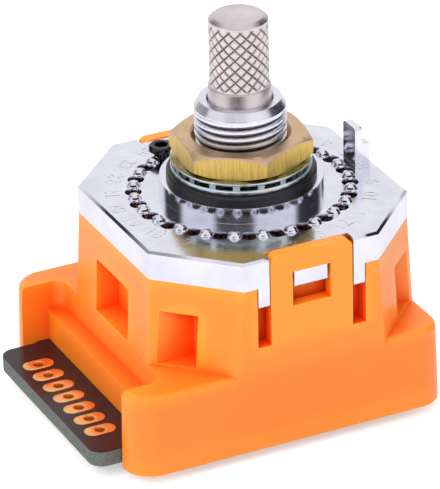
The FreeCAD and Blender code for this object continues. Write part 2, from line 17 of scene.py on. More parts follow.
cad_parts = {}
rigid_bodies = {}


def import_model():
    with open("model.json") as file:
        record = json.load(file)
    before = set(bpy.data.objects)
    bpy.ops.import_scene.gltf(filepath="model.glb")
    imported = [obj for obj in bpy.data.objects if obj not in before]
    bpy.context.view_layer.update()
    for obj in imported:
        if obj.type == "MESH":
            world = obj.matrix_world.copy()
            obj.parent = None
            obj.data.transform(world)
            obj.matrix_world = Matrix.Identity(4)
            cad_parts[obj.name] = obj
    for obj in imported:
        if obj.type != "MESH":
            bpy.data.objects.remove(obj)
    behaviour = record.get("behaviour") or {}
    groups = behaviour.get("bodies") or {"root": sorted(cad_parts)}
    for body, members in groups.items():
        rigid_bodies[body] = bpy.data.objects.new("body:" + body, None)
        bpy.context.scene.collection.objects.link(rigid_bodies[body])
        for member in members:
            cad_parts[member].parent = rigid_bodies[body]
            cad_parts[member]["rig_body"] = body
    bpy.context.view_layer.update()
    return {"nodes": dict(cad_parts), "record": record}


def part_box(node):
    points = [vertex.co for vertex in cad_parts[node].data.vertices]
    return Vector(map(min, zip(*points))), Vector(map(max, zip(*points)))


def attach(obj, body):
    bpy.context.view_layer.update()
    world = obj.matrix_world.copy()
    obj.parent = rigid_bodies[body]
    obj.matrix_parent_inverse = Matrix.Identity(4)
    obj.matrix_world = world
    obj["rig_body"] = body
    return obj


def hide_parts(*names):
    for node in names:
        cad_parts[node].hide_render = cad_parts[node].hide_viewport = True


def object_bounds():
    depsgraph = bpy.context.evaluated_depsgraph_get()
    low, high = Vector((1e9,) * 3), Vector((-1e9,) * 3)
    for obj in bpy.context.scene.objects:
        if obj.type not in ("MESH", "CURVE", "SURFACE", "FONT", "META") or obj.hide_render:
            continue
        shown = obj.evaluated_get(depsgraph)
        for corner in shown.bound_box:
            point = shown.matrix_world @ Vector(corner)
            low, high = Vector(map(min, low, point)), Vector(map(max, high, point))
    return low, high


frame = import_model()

MM = 0.001
record = frame["record"]
nodes = frame["nodes"]

# %% [markdown]
# ## Landmarks of the switch
# The shaft's axis is the Z axis, and Z is zero in the plane where a panel would rest. Every place
# in this lesson is worked out from a few sizes of the real switch, or read from the solids, so a
# new piece always sits on what carries it.

# %% Sizes in millimetres
POSITIONS = 24
plate_top = -1.65
bushing_radius = 4.66
bushing_top = 8.45
bushing_chamfer = 0.8
bore_radius = 3.225
thread_pitch = 25.4 / 32
hole_ring_radius = 10.94
post_radius = 0.66
post_height = 0.55
shaft_radius = 3.175
grip_radius = 3.0
grip_low, grip_high = 9.89, 16.92
nut_bore = 5.4
nut_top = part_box("hex_nut")[1].z / MM
nut_slope = math.tan(math.radians(30))
nut_face_radius = 6.1
nut_cone = nut_top + nut_face_radius * nut_slope
base_top, wall_foot = -15.0, -13.0
shaft_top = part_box("shaft")[1].z / MM
board_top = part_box("circuit_board")[1].z / MM
board_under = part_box("circuit_board")[0].z / MM
floor_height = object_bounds()[0][2] / MM
print("shaft top", round(shaft_top, 2), "board top", round(board_top, 2), "floor", round(floor_height, 2))

# %% [markdown]
# ## Meshes from arrays
# A turned or swept part is a function of two parameters: how far round, and how far along. If the
# points are worked out as one array of rows and columns, the faces between them follow a fixed
# pattern, and one helper can stitch any such grid. No loop ever visits a single vertex.

# %% Stitch a grid of points into a mesh
def grid_faces(rows, columns, wrap_rows=False):
    """Four-sided faces between neighbouring rows and columns; the last column meets the first."""
    r = np.arange(rows if wrap_rows else rows - 1)[:, None]
    c = np.arange(columns)[None, :]
    up = (r + 1) % rows
    over = (c + 1) % columns
    return np.stack([r * columns + c, r * columns + over, up * columns + over, up * columns + c],
                    axis=-1).reshape(-1, 4)


def mesh_piece(name, points, faces, smooth=True):
    """A new object at the origin whose mesh holds the points, given in millimetres."""
    mesh = bpy.data.meshes.new(name)
    mesh.from_pydata((np.asarray(points).reshape(-1, 3) * MM).tolist(), [], faces.tolist())
    mesh.polygons.foreach_set("use_smooth", np.full(len(mesh.polygons), smooth))
    mesh.update()
    piece = bpy.data.objects.new(name, mesh)
    bpy.context.scene.collection.objects.link(piece)
    return piece


def vertex_places(mesh):
    """All corner points of a mesh as one array, in metres."""
    places = np.empty(len(mesh.vertices) * 3, np.float32)
    mesh.vertices.foreach_get("co", places)
    return places.astype(float).reshape(-1, 3)


def outward(piece):
    """Joins doubled points and turns every face outward."""
    work = bmesh.new()
    work.from_mesh(piece.data)
    bmesh.ops.remove_doubles(work, verts=work.verts, dist=1e-7)
    bmesh.ops.recalc_face_normals(work, faces=work.faces)
    work.to_mesh(piece.data)
    work.free()
    return piece


def soften(piece, width, segments=2, angle=30):
    """Rounds the sharp edges by a bevel in millimetres, and lets large flat faces lead the shading."""
    bevel = piece.modifiers.new("soft_edges", "BEVEL")
    bevel.width = width * MM
    bevel.segments = segments
    bevel.limit_method = "ANGLE"
    bevel.angle_limit = math.radians(angle)
    bevel.use_clamp_overlap = True
    leading = piece.modifiers.new("flat_faces_lead", "WEIGHTED_NORMAL")
    leading.mode = "FACE_AREA"
    leading.weight = 90
    return piece


print("helpers ready")

# %% [markdown]
# ## Camera and stage
# The photograph was taken from above the front left corner with a long lens. One camera was
# fitted to the edges of the switch: its direction, its distance and its focal length. It is aimed
# at the middle of the picture, so it needs no shift.

# %% Place the camera
view_azimuth = math.radians(-25.702)
view_height = math.radians(26.322)
view_roll = math.radians(-1.251)
view_distance = 408.39
focal_pixels = 4056.2
picture_width, picture_height = 440, 489
centre_x, centre_y = 241.79, 186.92

back = np.array([math.sin(view_azimuth) * math.cos(view_height),
                 -math.cos(view_azimuth) * math.cos(view_height), math.sin(view_height)])
right = np.array([math.cos(view_azimuth), math.sin(view_azimuth), 0.0])
above = np.cross(back, right)
image_right = right * math.cos(view_roll) + above * math.sin(view_roll)
image_up = above * math.cos(view_roll) - right * math.sin(view_roll)
eye = back * view_distance + np.array([0, 0, plate_top])

middle_x = (picture_width / 2 - centre_x) / focal_pixels
middle_y = (centre_y - picture_height / 2) / focal_pixels
aim = -back + image_right * middle_x + image_up * middle_y
aim /= np.linalg.norm(aim)
side = np.cross(aim, image_up)
side /= np.linalg.norm(side)
top = np.cross(side, aim)

camera_data = bpy.data.cameras.new("camera")
camera = bpy.data.objects.new("camera", camera_data)
bpy.context.scene.collection.objects.link(camera)
camera_data.sensor_fit = "VERTICAL"
camera_data.sensor_height = 24.0
camera_data.lens = focal_pixels * 24.0 / picture_height
camera_data.clip_start = 0.01
camera_data.clip_end = 50.0
camera.matrix_world = Matrix(((side[0], top[0], -aim[0], eye[0] * MM),
                              (side[1], top[1], -aim[1], eye[1] * MM),
                              (side[2], top[2], -aim[2], eye[2] * MM), (0, 0, 0, 1)))
bpy.context.scene.camera = camera
bpy.context.scene.view_settings.view_transform = "Standard"
print("camera at", [round(float(v), 1) for v in eye], "mm, lens", round(camera_data.lens, 1))

# %% [markdown]
# ## Small building blocks for materials
# Each finish is a Principled shader whose colour, roughness and bump come from a little noise at
# the scale of the real surface. Small helpers keep the node code short. They make a new material, a
# noise, a ramp of colours, a span of values, a bump and a step of arithmetic. The last few measure a
# place: its distance from the axis, and how shut in it is.

# %% Node helpers
def new_finish(name):
    """An empty node material with a Principled shader, its output and Object coordinates."""
    material = bpy.data.materials.new(name)
    material.use_nodes = True
    tree = material.node_tree
    shader = tree.nodes["Principled BSDF"]
    place = tree.nodes.new("ShaderNodeTexCoord")
    return material, tree, shader, place.outputs["Object"]


def noise(tree, place, scale, detail=4.0, rough=0.5, stretch=(1, 1, 1), turn=(0, 0, 0)):
    """Noise with the given number of cells to a metre, stretched along the axes."""
    mapping = tree.nodes.new("ShaderNodeMapping")
    mapping.inputs["Scale"].default_value = stretch
    mapping.inputs["Rotation"].default_value = turn
    tree.links.new(place, mapping.inputs["Vector"])
    texture = tree.nodes.new("ShaderNodeTexNoise")
    texture.inputs["Scale"].default_value = scale
    texture.inputs["Detail"].default_value = detail
    texture.inputs["Roughness"].default_value = rough
    tree.links.new(mapping.outputs["Vector"], texture.inputs["Vector"])
    return texture.outputs["Fac"]


def ramp(tree, value, stops):
    """A colour ramp: each stop is a position and a colour."""
    node = tree.nodes.new("ShaderNodeValToRGB")
    elements = node.color_ramp.elements
    while len(elements) < len(stops):
        elements.new(0.5)
    for element, (position, colour) in zip(elements, stops):
        element.position = position
        element.color = (*colour, 1.0)
    tree.links.new(value, node.inputs["Fac"])
    return node.outputs["Color"]


def span(tree, value, low, high, from_low=0.3, from_high=0.7):
    """Spreads a value over a new range."""
    node = tree.nodes.new("ShaderNodeMapRange")
    node.inputs["From Min"].default_value = from_low
    node.inputs["From Max"].default_value = from_high
    node.inputs["To Min"].default_value = low
    node.inputs["To Max"].default_value = high
    tree.links.new(value, node.inputs["Value"])
    return node.outputs["Result"]


def bump(tree, shader, height, distance, strength=1.0, under=None):
    """Relief of the given depth in metres, laid over any relief under it."""
    node = tree.nodes.new("ShaderNodeBump")
    node.inputs["Distance"].default_value = distance
    node.inputs["Strength"].default_value = strength
    tree.links.new(height, node.inputs["Height"])
    if under is not None:
        tree.links.new(under, node.inputs["Normal"])
    tree.links.new(node.outputs["Normal"], shader.inputs["Normal"])
    return node.outputs["Normal"]


def combine(tree, operation, first, second):
    """One arithmetic step between two values, either of which may be a plain number."""
    node = tree.nodes.new("ShaderNodeMath")
    node.operation = operation
    for socket, value in zip(node.inputs, (first, second)):
        if isinstance(value, (int, float)):
            socket.default_value = value
        else:
            tree.links.new(value, socket)
    return node.outputs[0]


def axis_value(tree, place, axis):
    """One coordinate of a place."""
    node = tree.nodes.new("ShaderNodeSeparateXYZ")
    tree.links.new(place, node.inputs[0])
    return node.outputs[axis]


def from_axis(tree, place):
    """Distance from the Z axis: the root of x squared plus y squared."""
    squares = [combine(tree, "POWER", axis_value(tree, place, axis), 2.0) for axis in "XY"]
    return combine(tree, "SQRT", combine(tree, "ADD", *squares), 0.0)


def blend_colours(tree, share, first, second):
    """A colour between two others; a share of 1 gives the second. Either may be plain numbers."""
    node = tree.nodes.new("ShaderNodeMix")
    node.data_type = "RGBA"
    tree.links.new(share, node.inputs["Factor"])
    for socket, colour in ((node.inputs["A"], first), (node.inputs["B"], second)):
        if isinstance(colour, tuple):
            socket.default_value = (*colour, 1.0)
        else:
            tree.links.new(colour, socket)
    return node.outputs["Result"]


def shelter(tree, distance, inside):
    """How shut in a place is, 0 to 1: by walls round it, or, inside, by how near its far side is."""
    node = tree.nodes.new("ShaderNodeAmbientOcclusion")
    node.samples = 12
    node.inside = inside
    node.only_local = True
    node.inputs["Distance"].default_value = distance
    return combine(tree, "SUBTRACT", 1.0, node.outputs["AO"])


finishes = {}
print("node helpers ready")

# %% [markdown]
# ## Cast and plated zinc
# The front cover is a zinc casting with a bright plating. On the real one the flat face is almost
# a mirror, broken by faint flow marks and fine pits, and it takes up the warm colour of the brass
# above it. A metal shader with a low roughness does that. Noises do the rest: a broad one clouds the
# tone and the roughness, a stretched one draws the flow marks, and a fine one pits the surface. The
# bushing was turned and is less bright, and its thread's grooves get a painted shade: there a dark
# colour is painted by the distance from the axis.

# %% The cover's plating
def plated_zinc(name, threaded=False):
    """Bright plating with faint flow marks and pits; on a thread the grooves get a painted shade."""
    material, tree, shader, place = new_finish(name)
    cloud = noise(tree, place, 260.0, 7.0, 0.62)
    grain = noise(tree, place, 5200.0, 3.0)
    scratch = noise(tree, place, 900.0, 5.0, 0.6, (1.0, 9.0, 1.0), (0, 0, 0.5))
    colour = ramp(tree, cloud, [(0.3, (0.74, 0.74, 0.84)), (0.7, (0.88, 0.88, 0.97))])
    if threaded:
        # Painted shade: the thread's grooves are darkened by their depth below the crest.
        outer = combine(tree, "GREATER_THAN", from_axis(tree, place), (bushing_radius - 0.66) * MM)
        deep = span(tree, from_axis(tree, place), 0.90, 0.0, (bushing_radius - 0.30) * MM,
                    (bushing_radius - 0.12) * MM)
        below = combine(tree, "LESS_THAN", axis_value(tree, place, "Z"),
                        (bushing_top - bushing_chamfer - 0.05) * MM)
        groove = combine(tree, "MULTIPLY", combine(tree, "MULTIPLY", outer, below), deep)
        colour = blend_colours(tree, groove, colour, (0.09, 0.085, 0.09))
    tree.links.new(colour, shader.inputs["Base Color"])
    shader.inputs["Metallic"].default_value = 1.0
    sheen = span(tree, cloud, 0.18, 0.26) if threaded else span(tree, cloud, 0.07, 0.15)
    rough = combine(tree, "ADD", sheen, span(tree, scratch, -0.02, 0.05))
    tree.links.new(rough, shader.inputs["Roughness"])
    first = bump(tree, shader, grain, 0.000006, 0.45)
    bump(tree, shader, scratch, 0.000012, 0.30, first)
    return material


finishes["zinc"] = plated_zinc("plated_zinc")
finishes["zinc_thread"] = plated_zinc("plated_thread_groove_shade", threaded=True)
print("plating:", finishes["zinc"].name, "and", finishes["zinc_thread"].name)

# %% [markdown]
# ## Turned brass
# The nut was cut from hexagon bar. Its flats keep the drawn bar's golden skin with fine upright
# lines, and the lathe took that skin off the top face and the chamfer, which are duller and
# browner. A cone through the chamfer tells the two apart: a point is turned metal where its height
# plus a share of its distance from the axis reaches the cone. Stretched noise gives the upright
# lines: it changes quickly round the nut and slowly with height.

# %% The nut's brass
def turned_brass():
    """Golden drawn flats with upright lines; a browner cut on the chamfer, the top and the bore."""
    material, tree, shader, place = new_finish("turned_brass")
    cloud = noise(tree, place, 420.0, 4.0)
    lines = noise(tree, place, 7000.0, 3.0, 0.6, (1.0, 1.0, 0.04))
    golden = ramp(tree, cloud, [(0.3, (0.88, 0.60, 0.14)), (0.7, (1.0, 0.72, 0.22))])
    drawn = blend_colours(tree, span(tree, lines, 0.55, 0.0, 0.38, 0.52), golden, (0.56, 0.36, 0.09))
    cut = ramp(tree, cloud, [(0.3, (0.67, 0.46, 0.28)), (0.7, (0.82, 0.59, 0.39))])
    height = axis_value(tree, place, "Z")
    cone = combine(tree, "ADD", height, combine(tree, "MULTIPLY", from_axis(tree, place), nut_slope))
    chamfer = span(tree, cone, 0.0, 1.0, nut_cone * MM - 0.00012, nut_cone * MM)
    face = combine(tree, "GREATER_THAN", height, (nut_top - 0.03) * MM)
    bore = combine(tree, "LESS_THAN", from_axis(tree, place), nut_bore * MM)
    turned = combine(tree, "MAXIMUM", chamfer, combine(tree, "MAXIMUM", face, bore))
    tree.links.new(blend_colours(tree, turned, drawn, cut), shader.inputs["Base Color"])
    shader.inputs["Metallic"].default_value = 1.0
    rough = combine(tree, "ADD", span(tree, cloud, 0.36, 0.46), span(tree, lines, -0.05, 0.07))
    tree.links.new(rough, shader.inputs["Roughness"])
    bump(tree, shader, lines, 0.000010, 0.45)
    return material


finishes["brass"] = turned_brass()
print("brass: the chamfer's cone meets the axis at", round(nut_cone, 2), "mm")

# %% [markdown]
# ## Steel finishes
# Steels look alike in a list and not on the bench: the washers have a blue-green zinc plating, the
# inner parts are ground, the screws under the board are nickel plated, and the stop screw is
# blackened. One function makes them all from a colour pair, a roughness and the depth of the tool
# marks. The bearing's plain brass and the pads' gold take the same recipe.

# %% Steels by one recipe
def steel(name, dark, light, roughness, marks):
    """A metal whose colour wanders between two tones, with tool marks of a given depth."""
    material, tree, shader, place = new_finish(name)
    cloud = noise(tree, place, 500.0, 4.0)
    tool = noise(tree, place, 4500.0, 4.0, 0.6)
    colour = ramp(tree, cloud, [(0.3, dark), (0.7, light)])
    tree.links.new(colour, shader.inputs["Base Color"])
    shader.inputs["Metallic"].default_value = 1.0
    rough = combine(tree, "ADD", span(tree, cloud, roughness * 0.8, roughness * 1.2),
                    span(tree, tool, -0.03, 0.04))
    tree.links.new(rough, shader.inputs["Roughness"])
    bump(tree, shader, tool, marks, 0.5)
    return material


finishes["washer_steel"] = steel("washer_steel", (0.50, 0.60, 0.62), (0.74, 0.80, 0.80), 0.20, 0.000006)
finishes["hard_steel"] = steel("hard_steel", (0.42, 0.42, 0.44), (0.60, 0.60, 0.62), 0.28, 0.000006)
finishes["screw_steel"] = steel("screw_steel", (0.62, 0.56, 0.56), (0.80, 0.75, 0.75), 0.20, 0.000005)
finishes["bearing_brass"] = steel("bearing_brass", (0.56, 0.42, 0.20), (0.74, 0.58, 0.30), 0.28, 0.000006)
finishes["black_steel"] = steel("black_steel", (0.03, 0.03, 0.036), (0.09, 0.09, 0.10), 0.14, 0.000006)
print("steels:", [name for name in finishes if "steel" in name])

# %% [markdown]
# ## The shaft's bare steel
# The shaft is plain steel, a little pink beside the plated casting. Its knurl's grooves are painted
# brown, partly for the oil and dust that sit in them and partly as painted shade. The grooves are
# where the surface comes nearer to the axis than the grip's own radius, so the material measures
# that distance and darkens what lies deep.

# %% The shaft's steel, with oil, dust and painted shade in its grooves
def shaft_steel():
    """Warm bare steel, brown where the knurl's grooves lie deeper than the grip's lands."""
    material, tree, shader, place = new_finish("shaft_steel")
    cloud = noise(tree, place, 500.0, 4.0)
    tool = noise(tree, place, 4500.0, 4.0, 0.6)
    clean = ramp(tree, cloud, [(0.3, (0.70, 0.63, 0.64)), (0.7, (0.84, 0.76, 0.77))])
    # Oil and dust, with painted shade: this brown for the grooves stands for grime and for the shade down
    # in them.
    dirt_and_shade = ramp(tree, cloud, [(0.40, (0.22, 0.19, 0.18)), (0.65, (0.36, 0.24, 0.14))])
    height = axis_value(tree, place, "Z")
    on_grip = combine(tree, "MULTIPLY", combine(tree, "GREATER_THAN", height, (grip_low + 0.03) * MM),
                      combine(tree, "LESS_THAN", height, (grip_high + 0.01) * MM))
    deep = span(tree, from_axis(tree, place), 1.0, 0.0, (grip_radius - 0.12) * MM,
                (grip_radius - 0.03) * MM)
    groove = combine(tree, "MULTIPLY", on_grip, deep)
    tree.links.new(blend_colours(tree, groove, clean, dirt_and_shade), shader.inputs["Base Color"])
    shader.inputs["Metallic"].default_value = 1.0
    rough = combine(tree, "ADD", span(tree, cloud, 0.32, 0.40), span(tree, tool, -0.03, 0.04))
    tree.links.new(combine(tree, "ADD", rough, combine(tree, "MULTIPLY", groove, 0.25)),
                   shader.inputs["Roughness"])
    bump(tree, shader, tool, 0.000008, 0.5)
    return material


finishes["shaft_steel"] = shaft_steel()
print("shaft steel: grip from", grip_low, "to", grip_high, "mm")

# %% [markdown]
# ## Moulded orange plastic
# The housing glows. Light enters the thin walls and comes out yellower at the edges, while the
# deep windows go red, because red light travels farther in the plastic than green. Subsurface
# scattering does part of this. The rest is painted light in the colour: the walls above the base
# are painted yellower, and two measures of how shut in a place is steer a painted glow and a
# painted shade. Near an outer edge the far side is close, so the painted glow turns the colour
# yellow, and between walls the light comes from plastic only, so the painted shade turns it red.
# A faint orange-peel relief breaks the gloss.

# %% The housing's plastic
def orange_plastic():
    """Orange with painted light: painted glow yellows the upper walls and the edges, painted shade reddens
    shut-in places.
    """
    material, tree, shader, place = new_finish("orange_plastic")
    cloud = noise(tree, place, 120.0, 3.0)
    peel = noise(tree, place, 1600.0, 2.0)
    thick = ramp(tree, cloud, [(0.3, (1.0, 0.208, 0.014)), (0.7, (1.0, 0.228, 0.018))])
    # Painted glow: the walls above the base are painted yellower than the thick base, as light shows
    # through thinner plastic.
    rises = span(tree, axis_value(tree, place, "Z"), 0.0, 1.0, base_top * MM, wall_foot * MM)
    body = blend_colours(tree, rises, thick, (1.0, 0.258, 0.020))
    # Painted glow: near outer edges, where the far side is close, the colour is painted yellower.
    edges = combine(tree, "MULTIPLY", span(tree, shelter(tree, 0.0020, True), 0.0, 0.9, 0.04, 0.45),
                    span(tree, rises, 0.4, 1.0, 0.0, 1.0))
    lit = blend_colours(tree, edges, body, (1.0, 0.325, 0.022))
    # Painted shade: places shut in between walls are painted deep red by an occlusion measure.
    painted_hollow_shade = span(tree, shelter(tree, 0.0040, False), 0.0, 1.0, 0.15, 0.75)
    colour = blend_colours(tree, painted_hollow_shade, lit, (0.92, 0.070, 0.001))
    tree.links.new(colour, shader.inputs["Base Color"])
    shader.inputs["Subsurface Weight"].default_value = 0.35
    shader.inputs["Subsurface Radius"].default_value = (1.0, 0.32, 0.05)
    shader.inputs["Subsurface Scale"].default_value = 0.0016
    tree.links.new(span(tree, cloud, 0.30, 0.38), shader.inputs["Roughness"])
    shader.inputs["IOR"].default_value = 1.5
    bump(tree, shader, peel, 0.00001, 0.3)
    return material


finishes["orange_plastic"] = orange_plastic()
print("plastic: base below", base_top, "mm, walls above", wall_foot, "mm")

# %% [markdown]
# ## Rubber, dark plastic, board and gold
# The seal is soft black rubber with a dull sheen. The rotor inside is matt. The board is a pale
# grey-green laminate under a dark lacquer: the lacquer lies only on its two faces, so the sawn
# edge shows the laminate, and one material tells them apart by height. The pads are gold over
# copper.

# %% Rubber and dark plastic
def dull(name, dark, light, roughness, cells, depth):
    """A matt surface: two tones and a fine relief."""
    material, tree, shader, place = new_finish(name)
    cloud = noise(tree, place, cells, 4.0)
    colour = ramp(tree, cloud, [(0.3, dark), (0.7, light)])
    tree.links.new(colour, shader.inputs["Base Color"])
    tree.links.new(span(tree, cloud, roughness * 0.85, roughness * 1.1), shader.inputs["Roughness"])
    bump(tree, shader, cloud, depth, 0.4)
    return material


finishes["seal_rubber"] = dull("seal_rubber", (0.004, 0.004, 0.005), (0.012, 0.012, 0.015), 0.40,
                               2500.0, 0.00001)
finishes["dark_plastic"] = dull("dark_plastic", (0.05, 0.05, 0.055), (0.09, 0.09, 0.10), 0.60,
                                1800.0, 0.00001)
print("matt finishes:", finishes["seal_rubber"].name, "and", finishes["dark_plastic"].name)

# %% The board's lacquer and laminate
def board_finish():
    """Dark lacquer on the two faces, pale laminate on the sawn edge between them."""
    material, tree, shader, place = new_finish("board")
    height = axis_value(tree, place, "Z")
    skin = 0.02 * MM
    below_top = combine(tree, "LESS_THAN", height, board_top * MM - skin)
    above_under = combine(tree, "GREATER_THAN", height, board_under * MM + skin)
    sawn = combine(tree, "MULTIPLY", below_top, above_under)
    cloud = noise(tree, place, 300.0, 3.0)
    glass = noise(tree, place, 4200.0, 4.0, 0.7, (1, 1, 2.5))
    lacquer = ramp(tree, cloud, [(0.3, (0.018, 0.008, 0.012)), (0.7, (0.028, 0.012, 0.018))])
    laminate = ramp(tree, glass, [(0.35, (0.055, 0.068, 0.062)), (0.65, (0.18, 0.20, 0.18))])
    tree.links.new(blend_colours(tree, sawn, lacquer, laminate), shader.inputs["Base Color"])
    tree.links.new(span(tree, sawn, 0.24, 0.60, 0.0, 1.0), shader.inputs["Roughness"])
    shader.inputs["Specular IOR Level"].default_value = 0.35
    bump(tree, shader, glass, 0.00001, 0.25)
    return material


finishes["board"] = board_finish()
finishes["gold_plate"] = steel("gold_plate", (1.0, 0.58, 0.20), (1.0, 0.70, 0.33), 0.34, 0.000004)
print("finishes:", sorted(finishes))

# %% [markdown]
# ## Give every solid its finish
# The record names a material slot for each solid. A solid whose own shape is already right keeps
# its mesh and takes the finish into its slots.

# %% Assign the finishes
slot_of = {part["node"]: part["material_slot"] for part in record["subparts"]}


def paint(piece, slot):
    """Replaces a piece's material slots with one slot that holds the finish."""
    piece.data.materials.clear()
    piece.data.materials.append(finishes[slot])
    return piece


for node, piece in nodes.items():
    paint(piece, slot_of[node])
print("painted", len(nodes), "solids")

# %% [markdown]
# ## Softened edges
# No real edge is perfectly sharp, and a softened one catches a bright line of light. The loaded
# solids are loose triangles, which can't be bevelled. So a copy is made: its doubled points are
# joined, its flat areas are dissolved into single faces, and a Bevel modifier rounds what is
# still sharp. The copy stands in the solid's place.

# %% Make a softened copy of a solid
def joined_copy(node, name):
    """A copy of a solid's mesh with its doubles joined and its flat areas made whole."""
    work = bmesh.new()
    work.from_mesh(nodes[node].data)
    bmesh.ops.remove_doubles(work, verts=work.verts, dist=0.000002)
    bmesh.ops.recalc_face_normals(work, faces=work.faces)
    bmesh.ops.dissolve_limit(work, angle_limit=math.radians(1.0), verts=work.verts, edges=work.edges)
    mesh = bpy.data.meshes.new(name)
    work.to_mesh(mesh)
    work.free()
    mesh.polygons.foreach_set("use_smooth", np.full(len(mesh.polygons), True))
    piece = bpy.data.objects.new(name, mesh)
    bpy.context.scene.collection.objects.link(piece)
    return piece


def softened(node, name, width, segments=2):
    """A bevelled copy that stands for a solid, rides on its body and takes its finish."""
    piece = joined_copy(node, name)
    soften(piece, width, segments)
    paint(piece, slot_of[node])
    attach(piece, nodes[node]["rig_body"])
    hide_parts(node)
    print(name, "faces", len(piece.data.polygons))
    return piece


softened("housing", "moulded_housing", 0.30, 3)
softened("hex_nut", "brass_nut", 0.07)
softened("toothed_lock_washer", "toothed_washer", 0.04)
softened("flat_washer", "plain_washer", 0.08)
softened("circuit_board", "lacquered_board", 0.05)
softened("board_screws", "board_screw_pair", 0.08)
softened("stop_screw", "black_stop_screw", 0.10)

# %% [markdown]
# ## The threaded bushing
# The thread is a helix cut in the bushing. Its surface is a grid: the column says how far round,
# the row says how high, and the radius is the outer radius less a groove. The groove's depth
# depends only on height divided by pitch less the share of a turn, which is what makes it a
# helix. The ends fade out, as a die leaves them, and the same profile runs on over the chamfer,
# down the mouth and through the bore.

# %% Cut the thread
thread_depth = 0.40
thread_columns = 160


def thread_groove(turn, height):
    """Depth of the groove: flat crest, straight flank and narrow root each pitch, one pitch a turn."""
    from_crest = np.abs(2.0 * ((height / thread_pitch - turn) % 1.0) - 1.0)
    return np.clip((from_crest - 0.34) / 0.50, 0.0, 1.0)


def threaded_bushing():
    """Profile up the outside with the helix, over the chamfer, into the mouth and down the bore."""
    outer_z = np.linspace(0.02, bushing_top, 300)
    slope = 0.5 / bushing_chamfer
    outer_r = bushing_radius - slope * np.clip(outer_z - (bushing_top - bushing_chamfer), 0, None)
    fade = np.clip((bushing_top - 0.95 - outer_z) / 0.5, 0, 1) * np.clip(outer_z / 0.5, 0, 1)
    inner = np.array([[3.46, bushing_top], [3.40, bushing_top - 0.02], [3.36, bushing_top - 0.08],
                      [bore_radius, bushing_top - 0.35], [bore_radius, 6.0], [bore_radius, 0.0],
                      [bore_radius, -3.10], [4.50, -3.10], [bushing_radius - 0.02, 0.02]])
    turn = np.arange(thread_columns) / thread_columns
    r = outer_r[:, None] - thread_depth * fade[:, None] * thread_groove(turn[None, :], outer_z[:, None])
    r = np.vstack([r, np.repeat(inner[:, :1], thread_columns, axis=1)])
    z = np.concatenate([outer_z, inner[:, 1]])[:, None] + 0 * r
    angle = 2 * np.pi * turn[None, :]
    return np.stack([r * np.cos(angle), r * np.sin(angle), z], axis=-1)


points = threaded_bushing()
bushing = outward(mesh_piece("threaded_bushing", points, grid_faces(len(points), thread_columns, True)))
soften(bushing, 0.05, 2, 50)
paint(bushing, "zinc")
bushing.data.materials[0] = finishes["zinc_thread"]
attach(bushing, "housing")
print("bushing", len(bushing.data.polygons), "faces, thread pitch", round(thread_pitch, 3), "mm")

# %% [markdown]
# ## The cover casting
# The rest of the casting is the solid's own mesh. The plain bushing and the few-sided posts are
# cut away from a copy, because the threaded bushing above and round posts below take their
# places.

# %% Open the casting's copy and soften it
casting = joined_copy("front_cover", "cover_casting")
work = bmesh.new()
work.from_mesh(casting.data)
post_angles = 2 * np.pi * np.arange(POSITIONS) / POSITIONS
post_places = hole_ring_radius * np.stack([np.cos(post_angles), np.sin(post_angles)], axis=-1)
corners = vertex_places(casting.data) / MM
margin = 0.02
in_bushing = np.hypot(corners[:, 0], corners[:, 1]) < bushing_radius + margin
near_post = (np.hypot(corners[:, None, 0] - post_places[None, :, 0],
                      corners[:, None, 1] - post_places[None, :, 1]).min(1) < post_radius + margin)
in_post = near_post & (corners[:, 2] > plate_top - 0.005)
cut = in_bushing | in_post
doomed = [f for f in work.faces if all(cut[v.index] for v in f.verts)]
bmesh.ops.delete(work, geom=doomed, context="FACES")
work.to_mesh(casting.data)
work.free()
casting.data.polygons.foreach_set("use_smooth", np.full(len(casting.data.polygons), True))
soften(casting, 0.06, 2, 35)
paint(casting, "zinc")
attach(casting, "housing")
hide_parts("front_cover")
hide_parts("front_cover")
print("casting faces", len(casting.data.polygons), "after", len(doomed), "were cut away")

# %% [markdown]
# ## Stop posts
# Between each two holes stands a round post with a domed head. All twenty-four are one mesh: the
# profile of one is turned, and a second array carries it round the ring.

# %% Turn the posts
post_profile = np.array([[0.0, post_height], [0.20, post_height - 0.02], [0.40, post_height - 0.10],
                         [0.53, post_height - 0.22], [0.62, post_height - 0.38], [0.66, 0.08],
                         [0.74, 0.0], [0.76, -0.15]])
post_columns = 20


def turned_points(profile, columns):
    """A profile of radius and height carried round the Z axis."""
    angle = 2 * np.pi * np.arange(columns) / columns
    return np.stack([profile[:, :1] * np.cos(angle), profile[:, :1] * np.sin(angle),
                     np.repeat(profile[:, 1:], columns, axis=1)], axis=-1)


def repeated(points, faces, offsets):
    """Copies of one piece's points at each offset, with the faces renumbered to match."""
    flat = points.reshape(-1, 3)
    spread = (flat[None] + offsets[:, None]).reshape(-1, 3)
    shift = np.arange(len(offsets))[:, None, None] * len(flat)
    return spread, (faces[None] + shift).reshape(-1, faces.shape[1])


one_post = turned_points(post_profile, post_columns)
offsets = np.column_stack([post_places, np.full(POSITIONS, plate_top)])
points, faces = repeated(one_post, grid_faces(len(post_profile), post_columns), offsets)
posts = outward(mesh_piece("stop_posts", points, faces[:, ::-1]))
paint(posts, "zinc")
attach(posts, "housing")
print("posts", len(posts.data.polygons), "faces")

# %% [markdown]
# ## Numbers round the ring
# Each hole has its number cast beside it, so a reader can find where the stop screw goes. The screw
# stands at the last position, and the numbers run clockwise from it. Their tops point to the
# shaft. The letters are drawn as text, turned into a mesh, and only then put in their place; the
# casting's figures stand only a fortieth of a millimetre proud, so just their outlines show.

# %% Cast the numbers
number_radius = 12.1
number_height = 1.6
number_relief = 0.024
last_angle = 112.5


